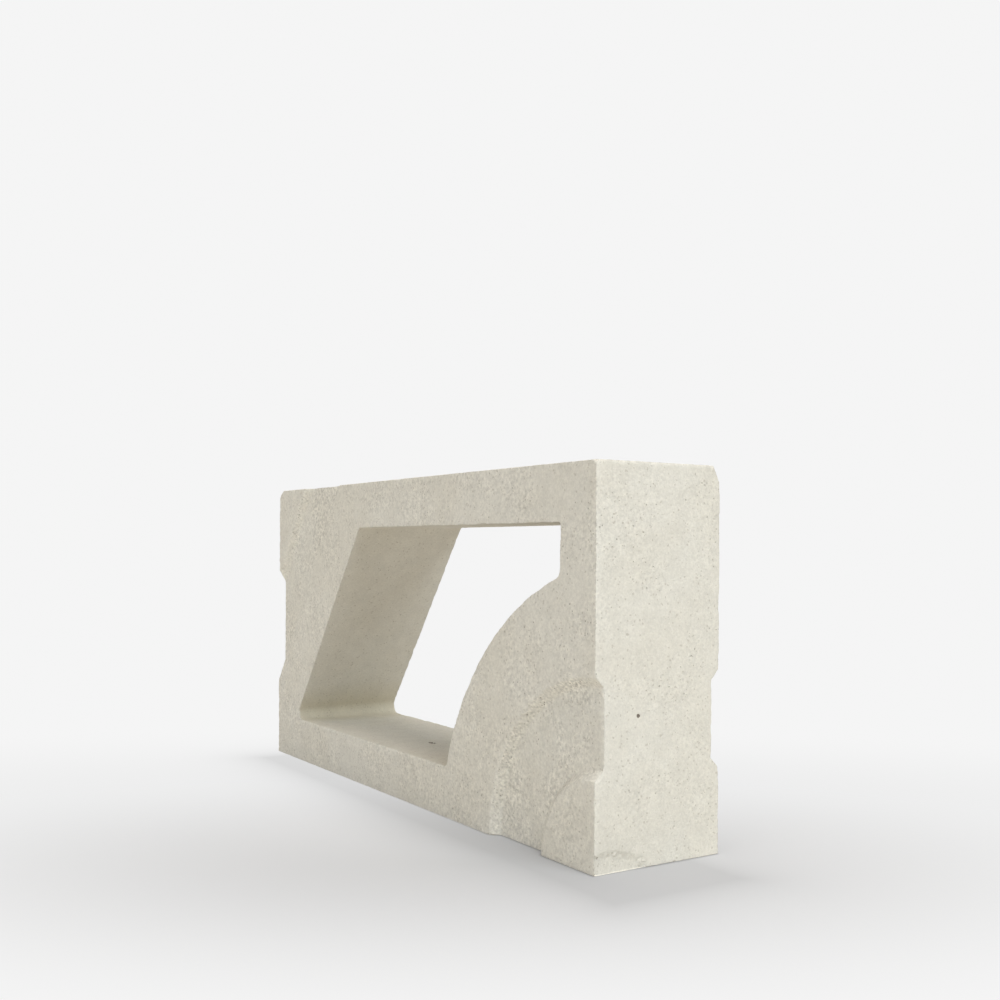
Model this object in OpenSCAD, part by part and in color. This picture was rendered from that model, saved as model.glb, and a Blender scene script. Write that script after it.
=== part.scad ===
// Cast concrete screen block, standing on its long edge
// One solid: a slab with one see-through opening and two shallow grooves cast into each face.
// Both faces are alike. The origin is the middle of the underside, with X along the length,
// Y through the thickness and Z up. Left and right are as seen from the front, looking along +Y.

/* [Block] */
// Length of the block from end to end
block_length = 400; // [380:1:460]
// Height of the block as it stands
block_height = 200; // [190:1:230]
// Thickness of the block from face to face
block_thickness = 80; // [60:1:120]

/* [Opening] */
// Rim under and over the opening
bed_rim = 30; // [24:1:36]
// Rim between the opening and the right end
end_rim = 30; // [24:1:40]
// Foot of the slanted edge on the lower rim, measured from the left end
slant_foot = 35; // [28:1:50]
// Head of the slanted edge under the upper rim, measured from the left end
slant_head = 140; // [120:1:160]
// Radius of the curved edge that closes the opening at the lower right
curve_radius = 172; // [155:1:200]
// Rounding at the foot of the slanted edge
foot_rounding = 5; // [2:0.5:8]
// Rounding where the curved edge runs up into the end rim
curve_rounding = 6; // [2:0.5:8]
// Rounding in the other three corners
corner_rounding = 2; // [1:0.5:5]

/* [Grooves] */
// Width of a groove at the face
groove_mouth = 50; // [44:1:56]
// Width of a groove at its floor
groove_floor = 40; // [30:1:43]
// Depth of a groove below the face
groove_depth = 5; // [2:0.5:8]
// Radius of the raised quarter round that the ring groove leaves in the lower right corner
quarter_round = 45; // [36:1:54]
// Raised band between the ring groove and the curved edge, where it is narrowest
curve_band = 47; // [40:1:54]
// Raised band between the straight groove and the slanted edge
slant_band = 43; // [36:1:54]

/* [Hidden] */

// How far a cut runs past the surface that it opens
overrun = 2;
// How far a corner's rounding laps over the curved edge, so that the two rounds cross cleanly
rounding_lap = 0.02;

left_end = -block_length / 2;
right_end = block_length / 2;
front_face = -block_thickness / 2;

opening_low = bed_rim;
opening_high = block_height - bed_rim;
opening_right = right_end - end_rim;

// Ends of the slanted edge, and its lean from upright
slant_low_end = [left_end + slant_foot, opening_low];
slant_high_end = [left_end + slant_head, opening_high];
slant_lean = atan2(slant_head - slant_foot, opening_high - opening_low);
slant_up = [sin(slant_lean), cos(slant_lean)];

// The curve's centre lies on the corner's diagonal, outside the block by the same amount both ways
curve_reach = quarter_round + groove_mouth + curve_band;
curve_setback = (curve_radius - curve_reach) / sqrt(2);

// Centre lines of the two grooves
ring_radius = quarter_round + groove_mouth / 2;
straight_offset = slant_band + groove_mouth / 2;
straight_run = block_length + block_height;

// Facets of a full turn where a true round is drawn
$fn = 180;

// What fills the corner between two straight edges that leave it in unit directions a and b.
// It reaches an overrun deep into the walls.
module corner_fill(corner, a, b, radius) {
    half_angle = acos(a * b) / 2;
    centre = corner + (a + b) / norm(a + b) * radius / sin(half_angle);
    to_corner = corner - centre;
    to_a = to_corner + a * radius / tan(half_angle);
    to_b = to_corner + b * radius / tan(half_angle);
    swell = (radius + overrun) / radius;
    translate(centre) difference() {
        polygon(swell * [[0, 0], to_a, to_corner, to_b]);
        circle(r = radius);
    }
}

// What fills the corner between the curved edge and a wall that stands a rim's width from the
// block's side. Drawn about the block's corner: the first axis leaves that side, the second runs along it.
module curve_corner_fill(rim, rounding) {
    curve_centre = [-curve_setback, -curve_setback];
    reach = curve_radius + rounding - rounding_lap;
    across = curve_setback + rim + rounding;
    centre = [rim + rounding, sqrt(reach ^ 2 - across ^ 2) - curve_setback];
    meeting = [rim, sqrt(curve_radius ^ 2 - (curve_setback + rim) ^ 2) - curve_setback];
    to_wall = [-rounding, 0];
    to_curve = (curve_centre - centre) * rounding / reach;
    swell = (rounding + overrun) / rounding;
    translate(centre) difference() {
        polygon(swell * [[0, 0], to_wall, meeting - centre, to_curve]);
        circle(r = rounding);
    }
}

// The see-through opening, drawn as seen from the front
module opening_outline() {
    difference() {
        polygon([
            slant_low_end,
            [opening_right, opening_low],
            [opening_right, opening_high],
            slant_high_end,
        ]);
        translate([right_end + curve_setback, -curve_setback]) circle(r = curve_radius);
        corner_fill(slant_low_end, slant_up, [1, 0], foot_rounding);
        corner_fill(slant_high_end, -slant_up, [1, 0], corner_rounding);
        corner_fill([opening_right, opening_high], [-1, 0], [0, -1], corner_rounding);
        translate([right_end, 0]) {
            mirror([1, 0]) curve_corner_fill(end_rim, curve_rounding);
            rotate(90) curve_corner_fill(bed_rim, corner_rounding);
        }
    }
}

module opening() {
    rotate([90, 0, 0])
        linear_extrude(height = block_thickness + 2 * overrun, center = true)
            opening_outline();
}

// Section of a groove about its centre line: the face lies at zero and the sides slope down to the floor
module groove_section() {
    flare = (groove_mouth - groove_floor) / 2 / groove_depth;
    half_floor = groove_floor / 2;
    half_top = groove_mouth / 2 + overrun * flare;
    polygon([
        [-half_floor, -groove_depth],
        [half_floor, -groove_depth],
        [half_top, overrun],
        [-half_top, overrun],
    ]);
}

// Ring groove round the lower right corner of the front face
module ring_groove() {
    translate([right_end, front_face, 0])
        rotate([90, 0, 0])
            rotate_extrude()
                translate([ring_radius, 0])
                    groove_section();
}

// Straight groove across the upper left corner of the front face, alongside the slanted edge
module straight_groove() {
    translate([slant_low_end.x, front_face, slant_low_end.y])
        rotate([0, slant_lean, 0])
            translate([-straight_offset, 0, 0])
                linear_extrude(height = straight_run, center = true)
                    mirror([0, 1]) groove_section();
}

module face_grooves() {
    ring_groove();
    straight_groove();
}

module block() {
    color("#d6d2c6")
        difference() {
            translate([left_end, front_face, 0])
                cube([block_length, block_thickness, block_height]);
            opening();
            face_grooves();
            mirror([0, 1, 0]) face_grooves();
        }
}

block();
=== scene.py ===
"""Looks of the cast concrete screen block: worn skin, sandy finish, stage, light and camera."""

import math
import random

import bmesh
import bpy
import numpy as np
from mathutils import Matrix, Vector, kdtree, noise
from mathutils.bvhtree import BVHTree


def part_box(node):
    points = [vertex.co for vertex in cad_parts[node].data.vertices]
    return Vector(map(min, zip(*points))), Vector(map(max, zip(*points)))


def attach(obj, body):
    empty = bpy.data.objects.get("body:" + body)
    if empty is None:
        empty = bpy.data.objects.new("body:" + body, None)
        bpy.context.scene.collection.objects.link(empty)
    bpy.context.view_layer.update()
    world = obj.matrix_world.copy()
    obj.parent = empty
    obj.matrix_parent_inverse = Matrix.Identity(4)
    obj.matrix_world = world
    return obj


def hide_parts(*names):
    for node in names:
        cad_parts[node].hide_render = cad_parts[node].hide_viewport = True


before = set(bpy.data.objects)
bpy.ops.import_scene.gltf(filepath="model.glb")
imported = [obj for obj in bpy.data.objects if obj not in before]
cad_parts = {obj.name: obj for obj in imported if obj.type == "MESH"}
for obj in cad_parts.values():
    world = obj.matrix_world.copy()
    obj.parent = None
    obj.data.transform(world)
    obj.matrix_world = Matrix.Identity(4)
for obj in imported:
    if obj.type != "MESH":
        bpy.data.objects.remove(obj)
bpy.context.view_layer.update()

MM = 0.001

# The block's own planes, from the frame
BLOCK_LOW, BLOCK_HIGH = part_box("block")
RIGHT_END = BLOCK_HIGH.x
FRONT_FACE = BLOCK_LOW.y
BACK_FACE = BLOCK_HIGH.y

# Skin of the casting
MERGE_WITHIN = 0.01 * MM
FLAT_WITHIN = math.radians(0.2)
ARRIS_ANGLE = math.radians(25)
SKIN_CELL = 0.75 * MM
SKIN_TRIANGLES = 190000
SMOOTH_WITHIN = math.radians(24)

# The opening widens a little from the front face to the back, so that its core could be drawn
DRAFT = 1.1 * MM
DRAFT_BLEND = 9 * MM
DRAFT_STARTS = 0.01

# A wall of the opening lies this far inside the block, and its normal leans no further towards a face
WALL_INSET = 10 * MM
WALL_LEAN = 0.3

# How open the skin is: on the faces, on the ends, top and underside, and on the grooves' sides.
# It is fully open from a certain depth below a face. The leans are of a normal towards a face.
COARSE_FACE = 0.65
COARSE_END = 0.36
COARSE_SLOPE = 1.3
GROOVE_KNOWN_BY = 2.5 * MM
FACE_LEAN = 0.5
SLOPE_LEAN = 0.85

# Painted shade darkens the opening's corner at the foot of the slanted wall
CORNER_SHADE_PLACE = (-163 * MM, 32 * MM)
CORNER_SHADE_REACH = 30 * MM

# Wear along the arrises. It is least along the foot, and chips are bitten out at random places.
ARRIS_STEP = 0.5 * MM
WEAR_REACH = 1.8 * MM
MARK_REACH = 1.5 * WEAR_REACH
WEAR_DEPTH = 2.2 * MM
WEAR_SHARPNESS = 1.5
CRUMB_SIZE = 3.0 * MM
CRUMB_PATCH_SIZE = 3 * CRUMB_SIZE
FOOT_ARRIS = 4 * MM
FOOT_WEAR = 0.3
BITE_SEED = 4
BITE_COUNT = 260
BITE_SIZES = (0.9 * MM, 2.8 * MM)
BITE_SINK_SHARE = 0.42
BITE_FULLNESS = 0.86
BITE_ROUGHNESS = 0.28
BITE_GRAIN = 2.2 * MM

# Unevenness of the faces, always into the block
RIPPLE_SIZE = 2.6 * MM
RIPPLE_DEPTH = 0.05 * MM
SWELL_SIZE = 45 * MM
SWELL_DEPTH = 0.10 * MM

# Broken corners: which corner, how far the break runs along X, Y and Z, and whether it is worn round
BREAKS = [
    ((1, 1, 1), (5.0 * MM, 5.5 * MM, 10 * MM), False),
    ((1, -1, 1), (8.0 * MM, 4.5 * MM, 4.5 * MM), True),
    ((-1, -1, 1), (14 * MM, 6.0 * MM, 9.0 * MM), True),
    ((-1, 1, -1), (4.0 * MM, 3.0 * MM, 5.0 * MM), False),
]
BREAK_ROUGHNESS = 0.45 * MM
BREAK_GRAIN = 1.6 * MM

# Hollows in the faces: the way each opens, its middle, its half size, its depth and how flat its floor is.
# The first two are air holes. The third is a thin flake lost from the foot of the right end.
HOLLOWS = [
    (Vector((1, 0, 0)), Vector((RIGHT_END, -13.4 * MM, 75 * MM)), Vector((0.9, 0.9, 0.9)) * MM, 1.0 * MM, 2),
    (Vector((0, 0, 1)), Vector((-19.5 * MM, -6 * MM, 29.5 * MM)), Vector((3.0, 1.4, 1.5)) * MM, 4.4 * MM, 4),
    (Vector((1, 0, 0)), Vector((RIGHT_END, -32 * MM, 0)), Vector((26, 26, 11)) * MM, 1.0 * MM, 8),
]
RIM_UNEVENNESS = 0.3
RIM_GRAIN = 2.5 * MM
HOLLOW_SEARCH = 1.2
HOLLOW_FACING = 0.8

# The painted shade inside a deep hole: how far it reaches, 1 being the rim, how firm it is and where it fades
DEEP_SHADE_REACH = 1.25
DEEP_SHADE_FIRMNESS = 4
DEEP_SHADE_FADE = (0.05, 0.35)

# A few more air holes in the four faces that the photograph doesn't show
STRAY_HOLES_PER_FACE = 2
STRAY_HOLE_SIZES = (0.6 * MM, 0.9 * MM)
HOLE_DEPTH_SHARE = 1.5
HOLE_FLATNESS = 2

# Unevenness of the concrete's finish: the size of its lumps in millimetres, its detail and its roughness
BLOTCHES = (60, 3.0, 0.55)
CLUSTERS = (26, 2.0, 0.5)
PATCHES = (9, 3.0, 0.5)
MOTTLE = (1.7, 1.0, 0.6)
SAND = (0.7, 3.0, 0.65)
GRAIN_MM = 0.85

# Between which levels of that unevenness each one takes hold
BLOTCH_SPAN = (0.35, 0.65)
PATCH_SPAN = (0.25, 0.75)
HOLE_CLUSTER_SPAN = (0.40, 0.68)
MOTTLE_CLUSTER_SPAN = (0.36, 0.64)
SAND_SPAN = (0.2, 0.8)

# Pinholes of the finish: the cells that hold one at most, their radii, and the share of cells with one
FINE_HOLE_CELL_MM = 2.1
FINE_HOLE_RADII_MM = (0.25, 0.52)
FINE_HOLE_SHARES = (0.12, 0.75)
LARGE_HOLE_CELL_MM = 9.0
LARGE_HOLE_RADII_MM = (0.4, 0.85)
LARGE_HOLE_SHARE = 0.12
HOLE_FLOOR_SHARE = 0.55

# How light or dark the finish goes. Each mottle swing is a share of the skin's coarseness.
SHADE_RANGE = (0.965, 1.03)
MOTTLE_SWINGS = (0.30, 0.92)
LEAST_SWING = 0.03
DARK_GRAINS_FROM = 0.975
DARK_GRAIN_MIX = 0.4
PALE_GRAINS_FROM = 0.93
PALE_GRAIN_MIX = 0.35
ARRIS_PALENESS = 0.08
HOLE_DARKNESS = 0.38
COARSE_HOLE_DARKNESS = 0.45

# Relief of the finish and how matt it is
LUMP_RELIEF = 0.2
COARSE_LUMP_RELIEF = 1.2
SAND_RELIEF = 0.20
PATCH_RELIEF = 0.25
GRAIN_RELIEF = 0.12
RELIEF_HEIGHT = 0.45 * MM
RELIEF_STRENGTH = 0.8
ROUGHNESS_RANGE = (0.84, 0.97)
GLOSS = 0.25

# Colours, linear
CREAM = (0.722, 0.703, 0.629, 1.0)
WARM_CREAM = (0.702, 0.677, 0.595, 1.0)
HOLE_SHADE = (0.30, 0.27, 0.22, 1.0)
DEEP_SHADE = (0.23, 0.20, 0.16, 1.0)
DARK_GRAIN = (0.40, 0.36, 0.29, 1.0)
PALE_GRAIN = (0.80, 0.78, 0.71, 1.0)
# Colour of the painted shade in the opening's corner
CORNER_SHADE = (0.92, 0.88, 0.78, 1.0)
STAGE_WHITE = 0.912
# The floor's matt colour as the camera sees it, darker than the plain background: painted shade under the
# block
FLOOR_SEEN = 0.57
FLOOR_TINT = (0.98, 1.00, 1.02, 1.0)
FLOOR_BOUNCE = (0.715, 0.69, 0.64, 1.0)

# The floor lies a hair under the block
FLOOR_HALF_SIZE = 30.0
FLOOR_DROP = 0.02 * MM

# Ovals that lie on the floor, square to the camera: middle, half width and half depth.
# The floor fades from mostly matt in the middle of the first to plain beyond it; the matt is darker as the
# camera sees it, a painted shadow that also keeps the block's real one.
# A faint wide shade fills the second.
MATT_OVAL = (Vector((150, -81, 0)) * MM, 248 * MM, 138 * MM)
MATT_FADE = (-0.42, 1.59)
WIDE_OVAL = (Vector((50, -8.5, 0)) * MM, 770 * MM, 315 * MM)
WIDE_DEPTH = 0.09

# The closer shade round the block's foot: its middle and half size, how far it reaches,
# how deep it is, and how much of the light that the floor throws back is lost there
FOOT_MIDDLE = Vector((30, -20, 0)) * MM
FOOT_HALF_SIZE = Vector((208, 38, 1)) * MM
FOOT_REACH = 18.5 * MM
FOOT_DEPTH = 0.20
FOOT_BOUNCE_LOSS = 0.30

# The thin dark line of painted shadow where the block stands on the floor
CONTACT_REACH = 3 * MM
CONTACT_DEPTH = 0.35
CONTACT_FADE = (0.9, 0.55)
CONTACT_SAMPLES = 8

# Lights: bearing round from the block's right end and height above the floor, both in degrees,
# then strength and tint
SKY_LEVEL = 0.08
LIGHTS = {
    "front": (-75, 12, 1.29, (0.97, 0.98, 1.00)),
    "right": (4, 40, 2.24, (0.88, 0.94, 1.00)),
    "above": (0, 80, 1.38, (1.00, 0.86, 0.73)),
    "back": (100, 35, 0.18, (1.00, 0.84, 0.64)),
}
LIGHT_SOFTNESS = math.radians(40)

# Camera, as the photograph was taken: level, and a little lower than the block's top
CAMERA_PLACE = Vector((639.1, -375.8, 156.6)) * MM
CAMERA_HEADING = math.radians(57.363)
CAMERA_ROLL = math.radians(0.323)
CAMERA_SENSOR = 36.0
CAMERA_LENS = 41.53
CAMERA_RISE = 0.0487


# The block's skin


def merged_copy(node):
    """The solid's own mesh with its seams merged and its flat faces joined."""
    bm = bmesh.new()
    bm.from_mesh(node.data)
    bmesh.ops.remove_doubles(bm, verts=bm.verts, dist=MERGE_WITHIN)
    bmesh.ops.dissolve_limit(bm, angle_limit=FLAT_WITHIN, verts=bm.verts, edges=bm.edges)
    return bm


def sharp_outer_edges(bm):
    """Edges where two faces meet in an outer corner."""
    return [e for e in bm.edges if e.is_manifold and e.calc_face_angle_signed() > ARRIS_ANGLE]


def points_along(edges):
    """Points every ARRIS_STEP along the edges, each with the direction that leads out of the block."""
    found = []
    for edge in edges:
        a, b = (v.co.copy() for v in edge.verts)
        outward = sum((f.normal for f in edge.link_faces), Vector()).normalized()
        steps = max(1, round((b - a).length / ARRIS_STEP))
        found += [(a.lerp(b, (i + 0.5) / steps), outward) for i in range(steps)]
    return found


def with_modifier(mesh, kind, **settings):
    """A new mesh that is the old one after a modifier."""
    carrier = bpy.data.objects.new("carrier", mesh)
    bpy.context.scene.collection.objects.link(carrier)
    modifier = carrier.modifiers.new(kind, kind)
    for name, value in settings.items():
        setattr(modifier, name, value)
    shown = carrier.evaluated_get(bpy.context.evaluated_depsgraph_get())
    result = bpy.data.meshes.new_from_object(shown)
    bpy.data.objects.remove(carrier)
    bpy.data.meshes.remove(mesh)
    return result


def tree_of(points):
    tree = kdtree.KDTree(len(points))
    for index, point in enumerate(points):
        tree.insert(point, index)
    tree.balance()
    return tree


def read_points(mesh):
    flat = np.empty(len(mesh.vertices) * 3)
    mesh.vertices.foreach_get("co", flat)
    return flat.reshape(-1, 3)


def read_normals(mesh):
    flat = np.empty(len(mesh.vertices) * 3)
    mesh.vertex_normals.foreach_get("vector", flat)
    return flat.reshape(-1, 3)


def noise_at(points, size, seed=0.0):
    """Smooth noise from 0 to 1 at the points, with lumps of about the given size."""
    shift = Vector((seed, 2 * seed, -seed))
    return np.array([0.5 + 0.5 * noise.noise(Vector(p) / size + shift) for p in points])


def nearness(points, tree, reach):
    """1 on an arris, falling to 0 at the reach."""
    away = np.array([tree.find(p)[2] for p in points])
    return np.clip(1 - away / reach, 0, 1)


def settle_on(surface, points, near):
    """Draws the points beside an arris back onto the solid's own faces, so that the arris stays crisp."""
    for index in np.nonzero(near > 0)[0]:
        points[index] = surface.find_nearest(Vector(points[index]))[0]


def wall_points(points, normals):
    """Which points lie on the walls of the opening."""
    low, high = np.array(BLOCK_LOW), np.array(BLOCK_HIGH)
    inside = (points > low + WALL_INSET) & (points < high - WALL_INSET)
    return inside[:, 0] & inside[:, 2] & (np.abs(normals[:, 1]) < WALL_LEAN)


def open_draft(points, normals):
    """Widens the opening from the front face to the back. The faces beside it give way over a short blend."""
    walls = np.nonzero(wall_points(points, normals))[0]
    wall_tree = tree_of(points[walls])
    share = (points[:, 1] - FRONT_FACE) / (BACK_FACE - FRONT_FACE)
    for index in np.nonzero(share > DRAFT_STARTS)[0]:
        _, nearest, away = wall_tree.find(points[index])
        if away < DRAFT_BLEND:
            inward = normals[walls[nearest]] * (1, 0, 1)
            points[index] -= inward * DRAFT * share[index] * (1 - away / DRAFT_BLEND)


def wear_arrises(points, normals, near):
    """Crumbles the arrises and leaves the faces a little uneven, always into the block."""
    worn = near > 0
    crumbs = np.zeros(len(points))
    crumb = noise_at(points[worn], CRUMB_SIZE)
    patch = noise_at(points[worn], CRUMB_PATCH_SIZE, seed=7.0)
    crumbs[worn] = (crumb * patch) ** WEAR_SHARPNESS
    above_foot = np.clip(points[:, 2] / FOOT_ARRIS, FOOT_WEAR, 1)
    depth = WEAR_DEPTH * near ** WEAR_SHARPNESS * crumbs * above_foot
    depth += RIPPLE_DEPTH * noise_at(points, RIPPLE_SIZE, seed=3.0)
    depth += SWELL_DEPTH * noise_at(points, SWELL_SIZE, seed=5.0)
    return points - normals * depth[:, None]


def scoop(points, tree, centre, radius):
    """Presses the points that lie inside a rough ball out to its surface, as a chip leaves them."""
    for place, index, _ in tree.find_range(centre, radius):
        away = Vector(points[index]) - centre
        rough = radius * (BITE_FULLNESS + BITE_ROUGHNESS * noise.noise(place / BITE_GRAIN))
        if 0 < away.length < rough:
            points[index] = centre + away.normalized() * rough


def break_corner(points, side, reach, rounded):
    """Cuts a corner back to a rough surface that meets each of its three arrises at the reach."""
    side, reach = np.array(side), np.array(reach)
    corner = np.where(side > 0, BLOCK_HIGH, BLOCK_LOW)
    # The surface lies where the shares left along the arrises, or their squares if it is round, add up to 2
    left = np.clip(1 - (corner - points) * side / reach, 0, None)
    broken = np.nonzero((left ** (2 if rounded else 1)).sum(axis=1) > 2)[0]
    total, squares = left[broken].sum(axis=1), (left[broken] ** 2).sum(axis=1)
    sink = (total - np.sqrt(total ** 2 - 3 * (squares - 2))) / 3 if rounded else (total - 2) / 3
    sink += BREAK_ROUGHNESS / np.linalg.norm(reach) * noise_at(points[broken], BREAK_GRAIN, seed=11.0)
    points[broken] -= side * reach * sink[:, None]


def bite_arrises(points, tree, arris, draw):
    """Takes small chips out of the arrises, more of them small than large."""
    for _ in range(BITE_COUNT):
        place, outward = draw.choice(arris)
        size = BITE_SIZES[0] + (BITE_SIZES[1] - BITE_SIZES[0]) * draw.random() ** 2
        scoop(points, tree, place + outward * size * (1 - BITE_SINK_SHARE), size)


def stray_holes(draw):
    """Air holes scattered over the left end, the back, the top and the underside."""
    holes = []
    for axis, sign in ((0, -1), (1, 1), (2, 1), (2, -1)):
        opens = Vector(sign if i == axis else 0 for i in range(3))
        for _ in range(STRAY_HOLES_PER_FACE):
            place = Vector(draw.uniform(a, b) for a, b in zip(BLOCK_LOW, BLOCK_HIGH))
            place[axis] = (BLOCK_HIGH if sign > 0 else BLOCK_LOW)[axis]
            size = draw.uniform(*STRAY_HOLE_SIZES)
            half_size = Vector((size, size, size))
            holes.append((opens, place, half_size, size * HOLE_DEPTH_SHARE, HOLE_FLATNESS))
    return holes


def share_across(opens, place, half_size, spot):
    """How far a spot lies from the middle of a hollow, measured along the face, 1 on its rim."""
    away = spot - place
    along = away - opens * away.dot(opens)
    return math.sqrt(sum((a / h) ** 2 for a, h in zip(along, half_size)))


def press_hollow(points, normals, tree, opens, place, half_size, depth, flatness):
    """Sinks an oval hollow into the face that looks the way it opens."""
    for spot, index, _ in tree.find_range(place, HOLLOW_SEARCH * max(half_size)):
        share = share_across(opens, place, half_size, spot)
        share += RIM_UNEVENNESS * abs(noise.noise(spot / RIM_GRAIN))
        if share < 1 and Vector(normals[index]).dot(opens) > HOLLOW_FACING:
            points[index] = Vector(points[index]) - opens * depth * (1 - share ** flatness)


def deep_hole_shade(points, hollows):
    """Mask of the painted shade inside deep holes: 1 in the middle of each deep hole, falling to 0 a little
    beyond its rim.
    """
    tree = tree_of(points)
    dark = np.zeros(len(points))
    for opens, place, half_size, depth, _ in hollows:
        if depth > max(half_size):
            for spot, index, _ in tree.find_range(place, 2 * depth):
                share = share_across(opens, place, half_size, spot)
                dark[index] = max(dark[index], 1 - (share / DEEP_SHADE_REACH) ** DEEP_SHADE_FIRMNESS)
    return dark


def coarseness(points, normals):
    """How open the skin is: closed on the opening's walls, most open on the grooves' sides."""
    on_faces = np.abs(normals[:, 1]) > FACE_LEAN
    below = np.clip((BACK_FACE - np.abs(points[:, 1])) / GROOVE_KNOWN_BY, 0, 1)
    coarse = np.where(on_faces, COARSE_FACE + (1 - COARSE_FACE) * below, COARSE_END)
    slopes = on_faces & (np.abs(normals[:, 1]) < SLOPE_LEAN)
    coarse = np.where(slopes, COARSE_SLOPE, coarse)
    return np.where(wall_points(points, normals), 0.0, coarse)


def painted_corner_shade(points, normals):
    """Mask of painted shade: 1 in the corner at the foot of the slanted wall, falling to 0 along the walls of
    the opening.
    """
    away = np.hypot(points[:, 0] - CORNER_SHADE_PLACE[0], points[:, 2] - CORNER_SHADE_PLACE[1])
    return np.where(wall_points(points, normals), np.clip(1 - away / CORNER_SHADE_REACH, 0, 1), 0.0)


def finish_skin(mesh, arris_tree, hollows):
    """Marks arrises, the deep holes with their painted shade, the painted shade of the opening's corner and
    the coarser skin for the material, and shades the faces smooth.
    """
    points, normals = read_points(mesh), read_normals(mesh)
    marks = {
        "arris": nearness(points, arris_tree, MARK_REACH),
        "coarse": coarseness(points, normals),
        "hole": deep_hole_shade(points, hollows),
        "corner_shade": painted_corner_shade(points, normals),
    }
    for name, values in marks.items():
        mesh.attributes.new(name, "FLOAT", "POINT").data.foreach_set("value", values)
    mesh.shade_smooth()
    mesh.set_sharp_from_angle(angle=SMOOTH_WITHIN)


def cast_block(node):
    """The whole block, with the crumbled arrises, broken corners and air holes of a concrete casting."""
    draw = random.Random(BITE_SEED)
    bm = merged_copy(node)
    arris = points_along(sharp_outer_edges(bm))
    arris_tree = tree_of([place for place, _ in arris])
    surface = BVHTree.FromBMesh(bm)
    mesh = bpy.data.meshes.new("concrete_block")
    bm.to_mesh(mesh)
    bm.free()
    mesh = with_modifier(mesh, "REMESH", mode="VOXEL", voxel_size=SKIN_CELL)
    points, normals = read_points(mesh), read_normals(mesh)
    near = nearness(points, arris_tree, WEAR_REACH)
    settle_on(surface, points, near)
    open_draft(points, normals)
    points = wear_arrises(points, normals, near)
    skin_tree = tree_of(points)
    for side, reach, rounded in BREAKS:
        break_corner(points, side, reach, rounded)
    bite_arrises(points, skin_tree, arris, draw)
    hollows = HOLLOWS + stray_holes(draw)
    for hollow in hollows:
        press_hollow(points, normals, skin_tree, *hollow)
    mesh.vertices.foreach_set("co", points.ravel())
    mesh.update()
    mesh.calc_loop_triangles()
    mesh = with_modifier(mesh, "DECIMATE", ratio=SKIN_TRIANGLES / len(mesh.loop_triangles))
    mesh.name = "concrete_block"
    finish_skin(mesh, arris_tree, hollows)
    block = bpy.data.objects.new("concrete_block", mesh)
    bpy.context.scene.collection.objects.link(block)
    return block


# Node helpers


def new_material(name):
    material = bpy.data.materials.new(name)
    material.use_nodes = True
    material.node_tree.nodes.clear()
    return material, material.node_tree


def plug(tree, socket, value):
    """Links a socket to another node's output, or gives it a plain value."""
    if isinstance(value, bpy.types.NodeSocket):
        tree.links.new(value, socket)
    else:
        socket.default_value = value


def add(tree, kind, settings=None, **inputs):
    """Adds a node. Settings are its own choices; inputs are its sockets, as values or as links."""
    node = tree.nodes.new(kind)
    for name, value in (settings or {}).items():
        setattr(node, name, value)
    for name, value in inputs.items():
        plug(tree, node.inputs[name.replace("_", " ")], value)
    return node


def math_node(tree, operation, a, b=0.0):
    node = tree.nodes.new("ShaderNodeMath")
    node.operation = operation
    for socket, value in zip(node.inputs, (a, b)):
        plug(tree, socket, value)
    return node.outputs[0]


def ramp(tree, value, start, end, low=0.0, high=1.0):
    """Maps start..end to low..high with soft ends."""
    node = tree.nodes.new("ShaderNodeMapRange")
    node.interpolation_type = "SMOOTHSTEP"
    for socket, given in zip(node.inputs, (value, start, end, low, high)):
        plug(tree, socket, given)
    return node.outputs[0]


def mix_colour(tree, factor, a, b, blend="MIX"):
    node = tree.nodes.new("ShaderNodeMix")
    node.data_type = "RGBA"
    node.blend_type = blend
    by_id = {socket.identifier: socket for socket in node.inputs}
    for key, value in (("Factor_Float", factor), ("A_Color", a), ("B_Color", b)):
        plug(tree, by_id[key], value)
    return next(s for s in node.outputs if s.identifier == "Result_Color")


def grey_of(tree, level):
    return add(tree, "ShaderNodeCombineColor", Red=level, Green=level, Blue=level).outputs[0]


def noise_texture(tree, place, lump_mm, detail, roughness):
    """Smooth noise with lumps of the given size."""
    node = add(tree, "ShaderNodeTexNoise", Vector=place, Scale=1 / lump_mm, Detail=detail,
               Roughness=roughness)
    return node.outputs["Fac"]


def cells(tree, place, cell_mm):
    """Random cells: distance from a cell's middle in cell widths, and three random numbers a cell."""
    node = add(tree, "ShaderNodeTexVoronoi", {"feature": "F1"}, Vector=place, Scale=1 / cell_mm)
    split = add(tree, "ShaderNodeSeparateColor", Color=node.outputs["Color"])
    return node.outputs["Distance"], split.outputs


# Concrete


def air_holes(tree, place, cell_mm, radii_mm, share):
    """A mask of small round holes, in a share of random cells that may itself vary from place to place."""
    distance, (pick, size, _) = cells(tree, place, cell_mm)
    radius = ramp(tree, size, 0.0, 1.0, radii_mm[0] / cell_mm, radii_mm[1] / cell_mm)
    inner = math_node(tree, "MULTIPLY", radius, HOLE_FLOOR_SHARE)
    hole = ramp(tree, distance, radius, inner)
    taken = math_node(tree, "LESS_THAN", pick, share)
    return math_node(tree, "MULTIPLY", hole, taken)


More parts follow.
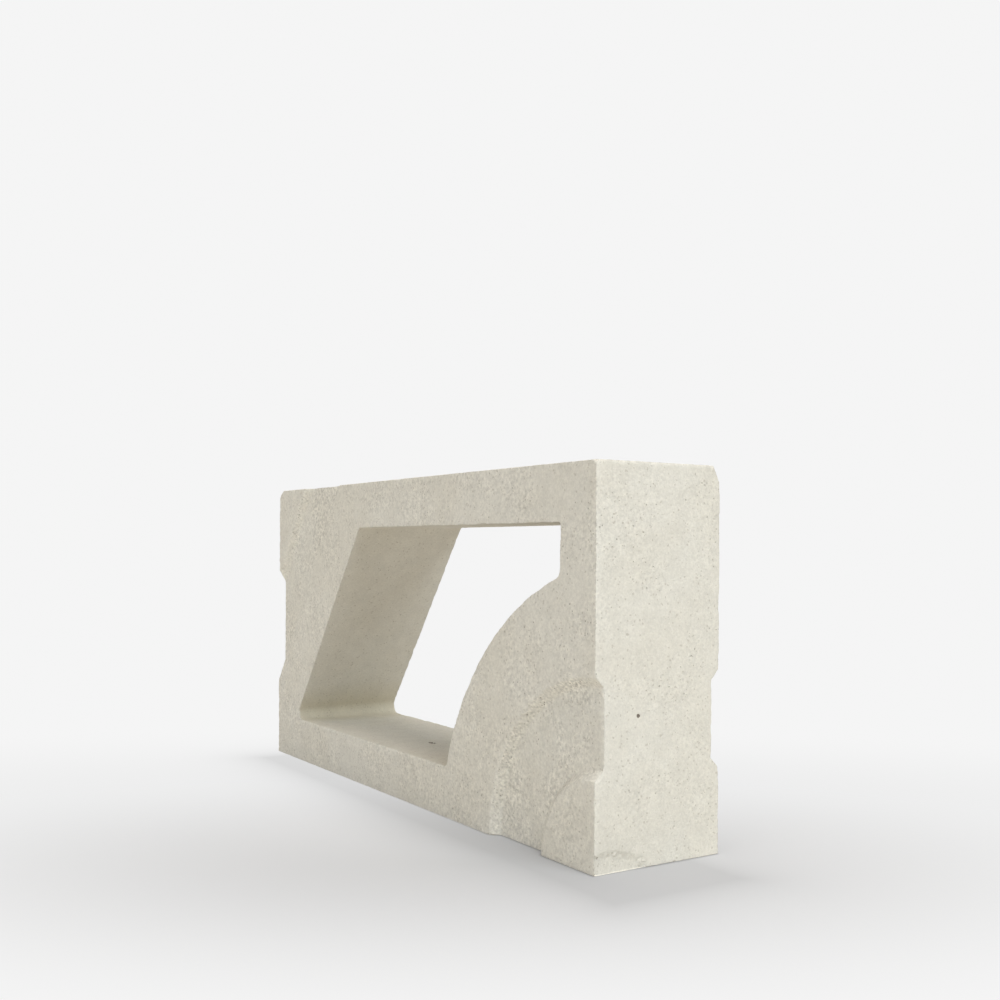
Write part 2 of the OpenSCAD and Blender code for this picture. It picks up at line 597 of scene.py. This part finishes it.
def cast_concrete():
    """Cream concrete of fine sand: faint blotches, single grains, and air holes that come in clusters."""
    material, tree = new_material("cast_concrete")
    where = add(tree, "ShaderNodeTexCoord").outputs["Object"]
    place = add(tree, "ShaderNodeMapping", Vector=where, Scale=(1 / MM,) * 3).outputs[0]
    arris, coarse, hole, corner_shade = (
        add(tree, "ShaderNodeAttribute", {"attribute_name": name}).outputs["Fac"]
        for name in ("arris", "coarse", "hole", "corner_shade")
    )

    blotches = ramp(tree, noise_texture(tree, place, *BLOTCHES), *BLOTCH_SPAN)
    patches = noise_texture(tree, place, *PATCHES)
    mottle = noise_texture(tree, place, *MOTTLE)
    clusters = noise_texture(tree, place, *CLUSTERS)
    grain_distance, (grain_shade, grain_dark, grain_pale) = cells(tree, place, GRAIN_MM)
    sand = noise_texture(tree, place, *SAND)

    cluster_share = ramp(tree, clusters, *HOLE_CLUSTER_SPAN, *FINE_HOLE_SHARES)
    fine_share = math_node(tree, "MULTIPLY", cluster_share, coarse)
    fine_holes = air_holes(tree, place, FINE_HOLE_CELL_MM, FINE_HOLE_RADII_MM, fine_share)
    large_holes = air_holes(tree, place, LARGE_HOLE_CELL_MM, LARGE_HOLE_RADII_MM, LARGE_HOLE_SHARE)
    holes = math_node(tree, "MAXIMUM", fine_holes, large_holes)

    colour = mix_colour(tree, blotches, CREAM, WARM_CREAM)
    level = ramp(tree, patches, *PATCH_SPAN, *SHADE_RANGE)
    cluster_swing = ramp(tree, clusters, *MOTTLE_CLUSTER_SPAN, *MOTTLE_SWINGS)
    swing = math_node(tree, "ADD", math_node(tree, "MULTIPLY", coarse, cluster_swing), LEAST_SWING)
    lift = math_node(tree, "MULTIPLY", math_node(tree, "SUBTRACT", mottle, 0.5), swing)
    level = math_node(tree, "MULTIPLY", level, math_node(tree, "ADD", lift, 1.0))
    level = math_node(tree, "MULTIPLY", level, ramp(tree, grain_shade, 0.0, 1.0, *SHADE_RANGE))
    colour = mix_colour(tree, 1.0, colour, grey_of(tree, level), "MULTIPLY")
    dark = math_node(tree, "GREATER_THAN", grain_dark, DARK_GRAINS_FROM)
    colour = mix_colour(tree, math_node(tree, "MULTIPLY", dark, DARK_GRAIN_MIX), colour, DARK_GRAIN)
    pale = math_node(tree, "GREATER_THAN", grain_pale, PALE_GRAINS_FROM)
    colour = mix_colour(tree, math_node(tree, "MULTIPLY", pale, PALE_GRAIN_MIX), colour, PALE_GRAIN)
    colour = mix_colour(tree, math_node(tree, "MULTIPLY", arris, ARRIS_PALENESS), colour, PALE_GRAIN)
    # Painted shade in the opening's corner at the foot of the slanted wall
    colour = mix_colour(tree, corner_shade, colour, CORNER_SHADE, "MULTIPLY")
    coarse_darkness = math_node(tree, "MULTIPLY", coarse, COARSE_HOLE_DARKNESS)
    hole_darkness = math_node(tree, "ADD", coarse_darkness, HOLE_DARKNESS)
    colour = mix_colour(tree, math_node(tree, "MULTIPLY", holes, hole_darkness), colour, HOLE_SHADE)
    # Painted shade inside the deep holes
    colour = mix_colour(tree, ramp(tree, hole, *DEEP_SHADE_FADE), colour, DEEP_SHADE)

    coarse_lump = math_node(tree, "MULTIPLY", coarse, COARSE_LUMP_RELIEF)
    lump_height = math_node(tree, "ADD", coarse_lump, LUMP_RELIEF)
    lumps = math_node(tree, "MULTIPLY", mottle, lump_height)
    relief = math_node(tree, "ADD", lumps, math_node(tree, "MULTIPLY", sand, SAND_RELIEF))
    relief = math_node(tree, "ADD", relief, math_node(tree, "MULTIPLY", patches, PATCH_RELIEF))
    grain_dip = math_node(tree, "MULTIPLY", grain_distance, GRAIN_RELIEF)
    relief = math_node(tree, "SUBTRACT", relief, grain_dip)
    relief = math_node(tree, "SUBTRACT", relief, holes)
    bump = add(tree, "ShaderNodeBump", Height=relief, Distance=RELIEF_HEIGHT, Strength=RELIEF_STRENGTH)

    shader = add(tree, "ShaderNodeBsdfPrincipled", Base_Color=colour, Normal=bump.outputs[0])
    shader.inputs["Specular IOR Level"].default_value = GLOSS
    tree.links.new(ramp(tree, sand, *SAND_SPAN, *ROUGHNESS_RANGE), shader.inputs["Roughness"])
    add(tree, "ShaderNodeOutputMaterial", Surface=shader.outputs[0])
    return material


# Stage, light and camera


def mixed_shader(tree, share, first, second):
    """The first shader, less the share of it that the second takes over."""
    node = tree.nodes.new("ShaderNodeMixShader")
    for socket, value in zip(node.inputs, (share, first, second)):
        plug(tree, socket, value)
    return node.outputs[0]


def seen_directly(tree):
    """1 for what the camera sees, also in gloss and through glass."""
    path = add(tree, "ShaderNodeLightPath").outputs
    seen = math_node(tree, "MAXIMUM", path["Is Camera Ray"], path["Is Glossy Ray"])
    return math_node(tree, "MAXIMUM", seen, path["Is Transmission Ray"])


def oval_distance(tree, where, middle, half_width, half_depth):
    """Distance from the middle of an oval on the floor, 1 on its rim."""
    turn = (0, 0, CAMERA_HEADING)
    size = (half_width, half_depth, 1)
    local = add(tree, "ShaderNodeMapping", {"vector_type": "TEXTURE"}, Vector=where, Location=middle,
                Rotation=turn, Scale=size).outputs[0]
    return add(tree, "ShaderNodeVectorMath", {"operation": "LENGTH"}, Vector=local).outputs["Value"]


def foot_shade(tree, where):
    """1 over an area about the block's foot, falling away over the floor round it."""
    away = where
    for operation, value in (("SUBTRACT", FOOT_MIDDLE), ("ABSOLUTE", None), ("SUBTRACT", FOOT_HALF_SIZE),
                             ("MAXIMUM", (0, 0, 0))):
        node = add(tree, "ShaderNodeVectorMath", {"operation": operation}, Vector=away)
        if value is not None:
            node.inputs[1].default_value = value
        away = node.outputs[0]
    distance = add(tree, "ShaderNodeVectorMath", {"operation": "LENGTH"}, Vector=away).outputs["Value"]
    return math_node(tree, "EXPONENT", math_node(tree, "MULTIPLY", distance, -1 / FOOT_REACH))


def contact_line(tree):
    """Mask of the painted contact shadow: 1 on the floor close under the block's foot, 0 away from it."""
    node = add(tree, "ShaderNodeAmbientOcclusion", {"samples": CONTACT_SAMPLES}, Distance=CONTACT_REACH)
    return ramp(tree, node.outputs["AO"], *CONTACT_FADE)


def scaled_from(tree, start, amount, factor):
    """The start value less a share of it: start * (1 - amount * factor)."""
    kept = math_node(tree, "SUBTRACT", 1.0, math_node(tree, "MULTIPLY", amount, factor))
    return math_node(tree, "MULTIPLY", start, kept)


def pale_floor():
    """A floor that keeps the block's shadow, darkened round the block by painted shade, and fades into the
    plain background away from it.
    """
    material, tree = new_material("pale_floor")
    where = add(tree, "ShaderNodeTexCoord").outputs["Object"]
    seen = seen_directly(tree)
    foot = foot_shade(tree, where)
    matt_seen = scaled_from(tree, FLOOR_SEEN, foot, FOOT_DEPTH)
    matt_seen = scaled_from(tree, matt_seen, contact_line(tree), CONTACT_DEPTH)
    bounce_kept = grey_of(tree, scaled_from(tree, 1.0, foot, FOOT_BOUNCE_LOSS))
    matt_bounce = mix_colour(tree, 1.0, bounce_kept, FLOOR_BOUNCE, "MULTIPLY")
    matt_seen = mix_colour(tree, 1.0, grey_of(tree, matt_seen), FLOOR_TINT, "MULTIPLY")
    matt_colour = mix_colour(tree, seen, matt_bounce, matt_seen)
    matt = add(tree, "ShaderNodeBsdfDiffuse", Color=matt_colour).outputs[0]
    wide = ramp(tree, oval_distance(tree, where, *WIDE_OVAL), 1.0, 0.0)
    plain_level = scaled_from(tree, scaled_from(tree, STAGE_WHITE, foot, FOOT_DEPTH), wide, WIDE_DEPTH)
    plain = add(tree, "ShaderNodeEmission", Color=grey_of(tree, plain_level)).outputs[0]
    beyond = ramp(tree, oval_distance(tree, where, *MATT_OVAL), *MATT_FADE)
    fade = math_node(tree, "MULTIPLY", beyond, seen)
    add(tree, "ShaderNodeOutputMaterial", Surface=mixed_shader(tree, fade, matt, plain))
    bm = bmesh.new()
    bmesh.ops.create_grid(bm, x_segments=1, y_segments=1, size=FLOOR_HALF_SIZE)
    bmesh.ops.translate(bm, verts=bm.verts, vec=(0, 0, -FLOOR_DROP))
    mesh = bpy.data.meshes.new("floor")
    bm.to_mesh(mesh)
    bm.free()
    mesh.materials.append(material)
    floor = bpy.data.objects.new("floor", mesh)
    bpy.context.scene.collection.objects.link(floor)


def soft_light():
    """A dim even room, and four broad lights."""
    world = bpy.data.worlds.new("room")
    world.use_nodes = True
    tree = world.node_tree
    tree.nodes.clear()
    sky = add(tree, "ShaderNodeBackground", Color=(1, 1, 1, 1), Strength=SKY_LEVEL).outputs[0]
    plain = add(tree, "ShaderNodeBackground", Color=(1, 1, 1, 1), Strength=STAGE_WHITE).outputs[0]
    add(tree, "ShaderNodeOutputWorld", Surface=mixed_shader(tree, seen_directly(tree), sky, plain))
    bpy.context.scene.world = world
    for name, (bearing, height, strength, tint) in LIGHTS.items():
        lamp = bpy.data.lights.new(name, "SUN")
        lamp.energy = strength
        lamp.color = tint
        lamp.angle = LIGHT_SOFTNESS
        light = bpy.data.objects.new(name, lamp)
        light.rotation_euler = (math.pi / 2 - math.radians(height), 0, math.pi / 2 + math.radians(bearing))
        bpy.context.scene.collection.objects.link(light)


def level_camera():
    data = bpy.data.cameras.new("camera")
    data.sensor_width = CAMERA_SENSOR
    data.lens = CAMERA_LENS
    data.shift_y = CAMERA_RISE
    camera = bpy.data.objects.new("camera", data)
    turned = Matrix.Rotation(CAMERA_HEADING, 4, "Z") @ Matrix.Rotation(math.pi / 2, 4, "X")
    camera.matrix_world = Matrix.Translation(CAMERA_PLACE) @ turned @ Matrix.Rotation(CAMERA_ROLL, 4, "Z")
    bpy.context.scene.collection.objects.link(camera)
    bpy.context.scene.camera = camera


block = cast_block(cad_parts["block"])
block.data.materials.append(cast_concrete())
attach(block, "root")
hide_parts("block")

pale_floor()
soft_light()
level_camera()
bpy.context.scene.view_settings.view_transform = "Standard"
